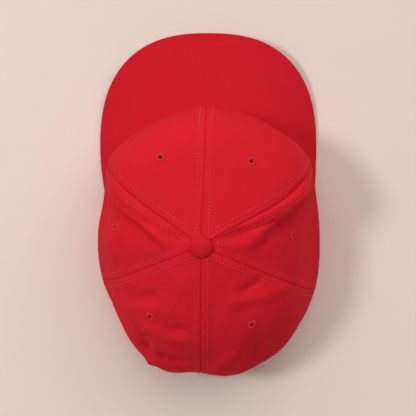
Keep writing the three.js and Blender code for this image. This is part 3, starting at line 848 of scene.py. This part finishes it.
def cloth_material(name, colour, pitch, bump):
    """Woven cotton with a diagonal twill line, uneven dye and a soft nap."""
    made, tree, shader = new_material(name)

    def work(operation, *values):
        return math_node(tree, operation, *values)

    where = tree.nodes.new("ShaderNodeTexCoord").outputs["Object"]
    plan = tree.nodes.new("ShaderNodeUVMap")
    plan.uv_map = "cloth"
    split = tree.nodes.new("ShaderNodeSeparateXYZ")
    tree.links.new(plan.outputs["UV"], split.inputs[0])
    u, v = split.outputs["X"], split.outputs["Y"]
    wobble = noise_node(tree, where, WOBBLE_SCALE)
    diagonal = work("ADD", work("MULTIPLY", u, DIAGONAL[0]), work("MULTIPLY", v, DIAGONAL[1]))
    turns = work("MULTIPLY", diagonal, 2 * math.pi / pitch)
    line = work("SINE", work("ADD", turns, work("MULTIPLY", wobble, WOBBLE)))
    weft = work("SINE", work("MULTIPLY", u, 2 * math.pi / (pitch * WEFT_PITCH)))
    weave = work("ADD", work("MULTIPLY", line, LINE_SHARE), work("MULTIPLY", weft, WEFT_SHARE))
    fuzz = noise_node(tree, where, FUZZ_SCALE, 4.0)

    base = ramp_node(tree, noise_node(tree, where, BLOTCH_SCALE, 4.0, 0.6), colour, BLOTCH_CONTRAST)
    factor = work("ADD", work("MULTIPLY", weave, WEAVE_CONTRAST), 1.0)
    factor = work("ADD", factor, work("MULTIPLY", work("SUBTRACT", fuzz, 0.5), FUZZ_CONTRAST))
    # The mesh's tone carries painted shade and painted highlights into the colour
    tone = tree.nodes.new("ShaderNodeAttribute")
    tone.attribute_name = "tone"
    factor = work("MULTIPLY", factor, tone.outputs["Fac"])
    tree.links.new(scaled_colour(tree, base, factor), shader.inputs["Base Color"])
    fill(shader, {"Roughness": 0.88, "Specular IOR Level": 0.06})
    fill(shader, {"Sheen Weight": 0.05, "Sheen Roughness": 0.55, "Sheen Tint": (*shade(colour, 1.3), 1)})
    bump_node(tree, shader, work("ADD", weave, fuzz), bump, 0.12 * MM)
    return made


def plain_material(name, colour, roughness, scale, contrast, bump, bump_distance):
    """One colour with a fine procedural grain."""
    made, tree, shader = new_material(name)
    where = tree.nodes.new("ShaderNodeTexCoord").outputs["Object"]
    grain = noise_node(tree, where, scale, 4.0, 0.6)
    tree.links.new(ramp_node(tree, grain, colour, contrast), shader.inputs["Base Color"])
    fill(shader, {"Roughness": roughness, "Specular IOR Level": 0.3})
    bump_node(tree, shader, grain, bump, bump_distance)
    return made


RED = linear(217, 31, 45)
TWILL_PITCH = 0.9 * MM
BAND_PITCH = 0.7 * MM
crown_material = cloth_material("red_twill", RED, TWILL_PITCH, 0.6)
# The visor's red is the crown's red darkened, as painted shade
visor_material = cloth_material("visor_twill", shade(RED, 0.89), TWILL_PITCH, 0.5)
band_material = cloth_material("band_cotton", shade(RED, 0.75), BAND_PITCH, 0.5)
button_material = cloth_material("button_twill", shade(RED, 0.92), TWILL_PITCH, 0.6)
thread_material = plain_material("red_thread", linear(222, 80, 82), 0.7, 2500.0, 0.12, 0.5, 0.05 * MM)
eyelet_material = plain_material("eyelet_thread", linear(205, 38, 46), 0.7, 2500.0, 0.15, 0.5, 0.05 * MM)
strap_material = plain_material("red_plastic", linear(168, 20, 28), 0.42, 1800.0, 0.05, 0.25, 0.02 * MM)
floor_material = plain_material("pale_floor", linear(238, 224, 212), 0.9, 900.0, 0.025, 0.3, 0.1 * MM)

# Each panel's two seams, its softness and the seed of its unevenness
FIRST_SEED, SEED_STEP = 11, 7
panels, panel_pieces = {}, {}
for number, (name, first, second) in enumerate(PANELS):
    start, end = SEAMS[first], SEAMS[second]
    if end < start:
        end += FULL_TURN
    panels[name] = (start, end, 0.0 if name.startswith("front") else 1.0, FIRST_SEED + SEED_STEP * number)
    panel_pieces[name] = panel_piece(name, panels[name])


# Stitches
STITCH_LENGTH = 1.9 * MM
STITCH_PITCH = 2.7 * MM
STITCH_RADIUS = 0.2 * MM
STITCH_THICKNESS = np.array([0.45, 0.95, 1.0, 0.95, 0.45])
STITCH_LIFT = np.array([-0.9, 0.25, 0.6, 0.25, -0.9])


def stitches(name, paths, slot):
    """Separate stitches along paths of points and outward directions, as one piece."""
    sides, rings = 6, len(STITCH_LIFT)
    turn = np.linspace(0, 2 * np.pi, sides, endpoint=False)
    share = np.linspace(-1, 1, rings)
    points, faces = [], []
    for path, out in paths:
        along = lengths_along(path)
        count = int((along[-1] - STITCH_LENGTH) / STITCH_PITCH) + 1
        spare = along[-1] - (count - 1) * STITCH_PITCH
        for k in range(count):
            places = spare / 2 + k * STITCH_PITCH + share * STITCH_LENGTH / 2
            centre = np.stack([np.interp(places, along, path[:, axis]) for axis in range(3)], axis=1)
            up = unit(np.stack([np.interp(places, along, out[:, axis]) for axis in range(3)], axis=1))
            forward = unit(np.gradient(centre, axis=0))
            side = unit(np.cross(forward, up))
            centre = centre + up * (STITCH_RADIUS * STITCH_LIFT)[:, None]
            ring = np.cos(turn)[None, :, None] * side[:, None] + np.sin(turn)[None, :, None] * up[:, None]
            ring = centre[:, None] + ring * (STITCH_RADIUS * STITCH_THICKNESS)[:, None, None]
            start = len(points) * (rings * sides)
            points.append(ring.reshape(-1, 3))
            faces += tube_faces(rings, sides, start)
            faces.append([start + j for j in range(sides)][::-1])
            faces.append([start + (rings - 1) * sides + j for j in range(sides)])
    return finish_piece(mesh_object(name, np.concatenate(points), faces, thread_material), slot)


def path_on(angle, station, panel):
    point, into, _ = cloth(angle, station, panel)
    return point, -into


HALF_DEGREE = 0.5
SEAM_STITCHES_CLEAR_OF_ARCH = 1.0 * MM
SEAM_STITCHES_CLEAR_OF_HEM = 0.8 * MM
seam_paths = []
for panel in panels.values():
    start, end = panel[:2]
    half = (end - start) / 2
    for seam, side in ((start, 1), (end, -1)):
        station = np.linspace(0.03, 0.999, 400)
        beside = smooth_crown(seam + side * HALF_DEGREE + 0 * station, station)
        across = beside - smooth_crown(seam + 0 * station, station)
        offset = STITCH_FROM_SEAM / (np.linalg.norm(across, axis=-1) / HALF_DEGREE)
        angle = seam + side * offset
        point = smooth_crown(angle, station)
        clear_of_arch = arch_distance(point) > SEAM_STITCHES_CLEAR_OF_ARCH
        keep = (offset < half) & clear_of_arch & (above_hem(angle, point) > SEAM_STITCHES_CLEAR_OF_HEM)
        seam_paths.append(path_on(angle[keep], station[keep], panel))
stitches("seam_stitches", seam_paths, "eyelet_thread")


TRIAL_ANGLE = 0.1
TRIAL_STATION = 0.002
SEARCH_ROUNDS = 25


def on_back(x, z, start_angle):
    """The angle and station of the crown's places that lie at x and z, round the back."""
    angle, station = np.array(start_angle, float), np.full(len(x), 0.85)
    for _ in range(SEARCH_ROUNDS):
        here = crown(angle, station)
        by_angle = (crown(angle + TRIAL_ANGLE, station) - here) / TRIAL_ANGLE
        by_station = (here - crown(angle, station - TRIAL_STATION)) / TRIAL_STATION
        miss_x, miss_z = x - here[:, 0], z - here[:, 2]
        size = by_angle[:, 0] * by_station[:, 2] - by_station[:, 0] * by_angle[:, 2]
        angle += np.clip((miss_x * by_station[:, 2] - by_station[:, 0] * miss_z) / size, -4, 4)
        station += np.clip((by_angle[:, 0] * miss_z - miss_x * by_angle[:, 2]) / size, -0.05, 0.05)
        station = np.clip(station, 0.3, 0.9995)
    return angle, station


ONTO_VISOR_ANGLE = 1.5
SEAM_GAP_ANGLE = 0.7
ARCH_SEAM_GAP_ANGLE = 0.4
hem_paths, arch_paths = [], []
for height in HEM_STITCHES:
    for panel in panels.values():
        start, end, soft, _ = panel
        if soft == 0:
            continue
        low = max(start, HEM_FALL_END - ONTO_VISOR_ANGLE) + SEAM_GAP_ANGLE
        high = min(end, FULL_TURN - HEM_FALL_END + ONTO_VISOR_ANGLE) - SEAM_GAP_ANGLE
        angle = np.linspace(low, high, 240)
        station = station_above(angle, np.full((len(angle), 1), height))[:, 0]
        point = smooth_crown(angle, station)
        keep = arch_distance(point) > height + 0.6 * MM
        if keep.sum() > 10:
            hem_paths.append(path_on(angle[keep], station[keep], panel))
for distance in ARCH_STITCHES:
    for side in (1, -1):
        turn = np.linspace(0.0, math.pi / 2, 200)
        half = ARCH_WIDTH / 2
        normal = np.stack([np.cos(turn) / half, np.sin(turn) / ARCH_HEIGHT], axis=1)
        normal /= np.linalg.norm(normal, axis=1, keepdims=True)
        x = side * (half * np.cos(turn) + distance * normal[:, 0])
        z = ARCH_HEIGHT * np.sin(turn) + distance * normal[:, 1]
        keep = (z > distance) & (np.abs(x) > 1.5 * MM)
        x, z = x[keep], z[keep]
        guess = np.array([hem_angle(value) for value in x])
        angle, station = on_back(x, z, guess)
        panel = panels["back_left" if side > 0 else "back_right"]
        inside_panel = (angle > panel[0] + ARCH_SEAM_GAP_ANGLE) & (angle < panel[1] - ARCH_SEAM_GAP_ANGLE)
        arch_paths.append(path_on(angle[inside_panel], station[inside_panel], panel))
stitches("hem_stitches", hem_paths, "eyelet_thread")
stitches("arch_stitches", arch_paths, "eyelet_thread")


# Eyelets: rings of closely laid thread round small holes
EYELET_RIDGES = 26
RIDGE_HEIGHT = 0.09 * MM
EYELET_STANDS = 0.55 * MM
CUTTER_RADIUS = 2.5 * MM
CUTTER_LENGTH = 8 * MM
for row in EYELETS:
    angle, station = np.array([float(row["angle"])]), np.array([row["station"]])
    out, _, _ = relief(angle, station, panels[row["name"]])
    normal = normal_of(crown, angle, station)[0]
    centre = crown(angle, station)[0] + normal * out[0]
    first = unit(np.cross(normal, [0.0, 1.0, 0.2]))
    second = np.cross(normal, first)
    sides, section = 4 * EYELET_RIDGES, 16
    turn = np.linspace(0, 2 * np.pi, sides, endpoint=False)[:, None]
    round_it = np.linspace(0, 2 * np.pi, section, endpoint=False)[None, :]
    ridge = RIDGE_HEIGHT * np.cos(EYELET_RIDGES * turn)
    half_width = (EYELET_RADIUS - EYELET_HOLE_RADIUS) / 2
    half_height = (CROWN_WALL + 2 * EYELET_STANDS) / 2
    cosine, sine = np.cos(round_it), np.sin(round_it)
    radius = (EYELET_RADIUS + EYELET_HOLE_RADIUS) / 2 + (half_width + 0.5 * ridge) * cosine
    height = -CROWN_WALL / 2 + (half_height + ridge) * np.sign(sine) * np.abs(sine) ** 0.8
    points = (
        centre
        + (radius * np.cos(turn))[..., None] * first
        + (radius * np.sin(turn))[..., None] * second
        + height[..., None] * normal
    )
    faces = []
    for i in range(sides):
        for j in range(section):
            a = i * section + j
            b = i * section + (j + 1) % section
            c = (i + 1) % sides * section + (j + 1) % section
            d = (i + 1) % sides * section + j
            faces.append([a, d, c, b])
    ring = mesh_object("ring_" + row["name"], points.reshape(-1, 3), faces, eyelet_material)
    finish_piece(ring, "eyelet_thread", "eyelet_" + row["name"])
    cutter = rod(CUTTER_RADIUS, centre, normal, CUTTER_LENGTH, 32, eyelet_material)
    combine(panel_pieces[row["name"]], "DIFFERENCE", [cutter])


# Covered button over the meeting of the seams
def lathe(name, profile, sides, material, pleats):
    """A closed turned shape about the crown's top, from its lowest middle point round to its highest."""
    turn = np.linspace(0, 2 * np.pi, sides, endpoint=False)
    radius, height = np.array(profile).T
    radius, height = radius[1:-1, None] + 0 * turn, height[1:-1, None] + 0 * turn
    radius = pleats(radius, height, turn)
    ring = np.stack([radius * np.sin(turn), -radius * np.cos(turn), height], axis=-1).reshape(-1, 3)
    points = np.concatenate([ring, [[0, 0, profile[0][1]], [0, 0, profile[-1][1]]]])
    points = points + np.array([TOP_TO_WEARERS_LEFT, TOP_TO_BACK, 0])
    rows = len(profile) - 2
    faces = tube_faces(rows, sides)
    low, high = rows * sides, rows * sides + 1
    for j in range(sides):
        faces.append([low, (j + 1) % sides, j])
        faces.append([high, (rows - 1) * sides + j, (rows - 1) * sides + (j + 1) % sides])
    return mesh_object(name, points, faces, material, points[:, :2].copy(), np.ones(len(points)))


BUTTON_SEAT = CROWN_RISE + CLEARANCE
BUTTON_SIDE = 1.1 * MM
SHANK_END = CROWN_RISE - CROWN_WALL - 1 * MM
SIDE_STEPS = 8
TOP_STEPS = 24
button_profile = [(0, SHANK_END), (SHANK_RADIUS, SHANK_END), (SHANK_RADIUS, BUTTON_SEAT + 0.1 * MM)]
for k in range(SIDE_STEPS + 1):
    lap = math.pi / 2 * k / SIDE_STEPS
    button_profile.append((
        BUTTON_RADIUS - BUTTON_SIDE + BUTTON_SIDE * math.sin(lap),
        BUTTON_SEAT + BUTTON_SIDE - BUTTON_SIDE * math.cos(lap),
    ))
for k in range(1, TOP_STEPS + 1):
    lap = math.pi / 2 * k / TOP_STEPS
    button_profile.append((
        BUTTON_RADIUS * math.cos(lap) ** 0.85 if k < TOP_STEPS else 0,
        BUTTON_SEAT + BUTTON_SIDE + (BUTTON_HEIGHT - BUTTON_SIDE) * math.sin(lap) ** 1.1,
    ))


def button_pleats(radius, height, turn):
    """The radius of the button where its cloth is gathered in under the rim."""
    rim = groove(height - BUTTON_SEAT - 0.8 * MM, 1.1 * MM) * (radius > 5 * MM)
    wave = np.sin(17 * turn) + 0.5 * np.sin(29 * turn + 1)
    return radius - 0.07 * MM * rim * (1 + wave)


button = lathe("covered_button", button_profile, 96, button_material, button_pleats)
finish_piece(button, "crown_cloth", "button")


# Visor: a covered board with a rounded rim
visor_widest_y = VISOR_ROOT_Y + VISOR_WIDEST_BEHIND_ROOT


def inner_hem(angle):
    return inside(angle, np.ones_like(angle), np.full_like(angle, CROWN_WALL))


VISOR_TIP_Y = inner_hem(np.array([VISOR_END_ANGLE]))[0, 1]


def visor_outline(angle):
    power = 2 / VISOR_SQUARENESS
    end_cosine = ((VISOR_TIP_Y - visor_widest_y) / VISOR_TAPER_REACH) ** (1 / power)
    turn = (math.pi / 2 + math.asin(end_cosine)) * angle / VISOR_END_ANGLE
    sine, cosine = np.sin(turn), np.cos(turn)
    reach = np.where(cosine > 0, -(VISOR_REACH + VISOR_WIDEST_BEHIND_ROOT), VISOR_TAPER_REACH)
    x = VISOR_TO_WEARERS_LEFT + VISOR_HALF_WIDTH * np.sign(sine) * np.abs(sine) ** power
    return x, visor_widest_y + reach * np.abs(cosine) ** power


VISOR_COLUMNS = 220
VISOR_STEP = 1.2 * MM
RIM_START = 2 * MM
RIM_ZONE = np.array([1.6, 1.3, 1.0, 0.72, 0.46, 0.26, 0.1, 0.0]) * MM
RIM_RADIUS = 1.3 * MM
RIM_SHADE = 0.1
angle = VISOR_END_ANGLE * np.linspace(-1, 1, VISOR_COLUMNS + 1)
root = inner_hem(angle)[:, :2]
tucked = smoothstep(VISOR_END_ANGLE - VISOR_TUCK_ANGLES, VISOR_END_ANGLE, np.abs(angle))[:, None]
edge = np.stack(visor_outline(angle), axis=1) * (1 - tucked) + np.stack(hem_plan(angle), axis=1) * tucked
reach = np.linalg.norm(edge - root, axis=1)
board_lengths = np.linspace(RIM_START, VISOR_REACH - RIM_START, int(VISOR_REACH / VISOR_STEP))
share = np.concatenate([[0], board_lengths, VISOR_REACH - RIM_ZONE]) / VISOR_REACH
plan = root[:, None] + (edge - root)[:, None] * share[None, :, None]
from_rim = (1 - share)[None, :] * reach[:, None]
rounding = edge_fall(from_rim, RIM_RADIUS)
top_z = visor_top(plan[..., 0], plan[..., 1])
flat = np.concatenate([plan, top_z[..., None]], axis=-1)
swell = ripple(flat, 26 * MM, 71) * 0.1 * MM * smoothstep(2 * MM, 9 * MM, from_rim)
swell -= 0.12 * MM * groove(from_rim - 3.2 * MM, 0.8 * MM)
top = np.concatenate([plan, (top_z + swell - rounding)[..., None]], axis=-1)
under = np.concatenate([plan, (top_z - VISOR_THICKNESS + rounding)[..., None]], axis=-1)
# Painted shade darkens the visor's rounded rim
painted_rim_shade = 1 - RIM_SHADE * groove(from_rim, 1.2 * MM)
visor = shell_object("covered_visor", top, under, visor_material, plan, (painted_rim_shade, painted_rim_shade))
finish_piece(visor, "visor_cloth", "visor")


# Bands inside the crown: grids that follow the hem, a given length above it and depth inside the crown
def band_grid(angle, lengths, depth, wall, edge_radius):
    """Outer and inner points of a band whose long edges are rounded."""
    low, high = lengths.min(axis=1, keepdims=True), lengths.max(axis=1, keepdims=True)
    from_edge = np.minimum(lengths - low, high - lengths)
    rounding = edge_fall(from_edge, edge_radius)
    return above(angle, lengths, depth + rounding), above(angle, lengths, depth + wall - rounding)


def edged(count, edge_share):
    """Shares from 0 to 1, closest at both ends."""
    ends = np.array([0, 0.25, 0.6, 1.0]) * edge_share
    return np.concatenate([ends, np.linspace(edge_share, 1 - edge_share, count)[1:-1], 1 - ends[::-1]])


BAND_COLUMNS = 260
STRAP_COLUMNS = 150
BAND_STITCHES_DOWN = 3 * MM
BAND_EDGE_RADIUS = 0.5 * MM
STRAP_EDGE_RADIUS = 0.45 * MM
STRAP_CORNER = 3 * MM
band_end_x = ARCH_WIDTH / 2 + STRAP_TONGUE + CLEARANCE
band_angle = np.linspace(hem_angle(-band_end_x) - FULL_TURN, hem_angle(band_end_x), BAND_COLUMNS)
on_visor = share_on_visor(band_angle)
foot = BAND_ABOVE_TABLE * (1 - on_visor) - (VISOR_THICKNESS + CLEARANCE) * on_visor
shares = edged(16, 0.02)
lengths = BAND_HEIGHT + (foot - BAND_HEIGHT)[:, None] * shares[None, :]
near = np.full_like(lengths, CROWN_WALL + BAND_CLEARANCE)
outer, inner = band_grid(band_angle, lengths, near, BAND_WALL, BAND_EDGE_RADIUS)
along = np.broadcast_to(lengths_along(outer[:, 0])[:, None], lengths.shape)
even_tone = np.ones_like(lengths)
uv = np.stack([along, lengths], axis=-1)
band = shell_object("inner_sweatband", outer, inner, band_material, uv, (even_tone, even_tone))
finish_piece(band, "band_cloth", "sweatband")

stitch_height = np.full((len(band_angle), 1), BAND_HEIGHT - BAND_STITCHES_DOWN)
stitch_depth = np.full_like(stitch_height, CROWN_WALL + BAND_CLEARANCE + BAND_WALL)
path = above(band_angle, stitch_height, stitch_depth)[:, 0]
deeper = above(band_angle, stitch_height, stitch_depth + 0.5 * MM)[:, 0]
stitches("band_stitches", [(path, unit(deeper - path))], "band_cloth")


# Snap strap
snap_half = (SNAP_COUNT - 1) * SNAP_PITCH / 2
strap_end = snap_half + SNAP_END
strap_near = CROWN_WALL + BAND_CLEARANCE
strap_far = strap_near + STRAP_WALL + CLEARANCE
strap_middle = BAND_ABOVE_TABLE + STRAP_HEIGHT / 2
strap_foot = ARCH_WIDTH / 2 + STRAP_TONGUE
step_end_x = -strap_end - STRAP_STEP_PAST_END
step_start_x = step_end_x - STRAP_STEP_LENGTH


def strap_piece(name, from_x, to_x, depth_at):
    angle = np.linspace(hem_angle(from_x), hem_angle(to_x), STRAP_COLUMNS)
    shares = edged(14, 0.03)
    lengths = BAND_ABOVE_TABLE + STRAP_HEIGHT * np.broadcast_to(1 - shares, (len(angle), len(shares)))
    x = hem_plan(angle)[0]
    # The free end is rounded at its corners
    from_end = from_x - x if to_x < -strap_end else x - to_x
    end = np.clip(STRAP_CORNER - from_end, 0, STRAP_CORNER)
    pinch = STRAP_CORNER - np.sqrt(STRAP_CORNER**2 - end**2)
    lengths = strap_middle + (lengths - strap_middle) * (1 - pinch / (STRAP_HEIGHT / 2))[:, None]
    depth = np.broadcast_to(depth_at(x)[:, None], lengths.shape)
    outer, inner = band_grid(angle, lengths, depth, STRAP_WALL, STRAP_EDGE_RADIUS)
    return shell_object(name, outer, inner, strap_material)


def snap_rods(radius, outer_depth, inner_depth):
    rods = []
    for k in range(SNAP_COUNT):
        angle = np.array([hem_angle(snap_half - k * SNAP_PITCH)])
        station = station_above(angle, np.array([[strap_middle]]))[0]
        normal = normal_of(crown, angle, station)[0]
        centre = crown(angle, station)[0] - normal * (outer_depth + inner_depth) / 2
        rods.append(rod(radius, centre, normal, inner_depth - outer_depth, 28, strap_material))
    return rods


strap_left = strap_piece("outer_strap", strap_foot, -strap_end, lambda x: strap_near + 0 * x)
combine(strap_left, "DIFFERENCE", snap_rods(PEG_RADIUS + CLEARANCE, 0, strap_far))
finish_piece(strap_left, "strap_plastic", "strap_left")


def right_depth(x):
    return strap_near + (strap_far - strap_near) * smoothstep(step_start_x, step_end_x, x)


strap_right = strap_piece("inner_strap", strap_end, -strap_foot, right_depth)
pegs = snap_rods(PEG_RADIUS, strap_near - PEG_PROUD, strap_far + STRAP_WALL / 2)
for peg in pegs:
    bevel = peg.modifiers.new("bevel", "BEVEL")
    bevel.width = 0.35 * MM
    bevel.segments = 3
    bevel.limit_method = "ANGLE"
    bpy.context.view_layer.update()
    apply_modifiers(peg)
combine(strap_right, "UNION", pegs)
finish_piece(strap_right, "strap_plastic", "strap_right")


# Floor, light and camera
FLOOR_SIZE = 6.0
bpy.ops.mesh.primitive_plane_add(size=FLOOR_SIZE, location=(0, 0, 0))
floor = bpy.context.object
floor.name = "floor"
floor.data.materials.append(floor_material)


LIT_POINT = Vector((0, 0, 0.05))


def soft_light(name, place, size, power, colour):
    """A round light that faces the middle of the cap."""
    data = bpy.data.lights.new(name, "AREA")
    data.shape = "DISK"
    data.size = size
    data.energy = power
    data.color = colour
    light = bpy.data.objects.new(name, data)
    light.location = place
    light.rotation_euler = (LIT_POINT - Vector(place)).to_track_quat("-Z", "Y").to_euler()
    bpy.context.scene.collection.objects.link(light)


soft_light("side", (1.15, -0.12, 1.64), 0.4, 13.8, (1.0, 0.99, 0.98))
soft_light("front", (-0.7, -2.2, 2.4), 6.0, 104.0, (1.0, 0.97, 0.95))

world = bpy.data.worlds.new("studio")
world.use_nodes = True
fill(world.node_tree.nodes["Background"], {"Color": (1.0, 0.93, 0.87, 1), "Strength": 0.23})
bpy.context.scene.world = world
bpy.context.scene.view_settings.view_transform = "Standard"

CAMERA_HEIGHT = 1.0
PICTURE_WIDTH = 416
PIXEL_SIZE = 0.8 * MM
FIELD_WIDTH = PICTURE_WIDTH * PIXEL_SIZE
SENSOR_WIDTH = 36.0
camera_data = bpy.data.cameras.new("camera")
camera_data.sensor_width = SENSOR_WIDTH
camera_data.lens = SENSOR_WIDTH * CAMERA_HEIGHT / FIELD_WIDTH
camera_data.clip_start = 0.01
camera = bpy.data.objects.new("camera", camera_data)
camera.location = (0.8 * MM + ORIGIN[0], 2.8 * MM - 24 * MM + ORIGIN[1], CAMERA_HEIGHT)
camera.rotation_euler = (0, 0, math.pi)
bpy.context.scene.collection.objects.link(camera)
bpy.context.scene.camera = camera
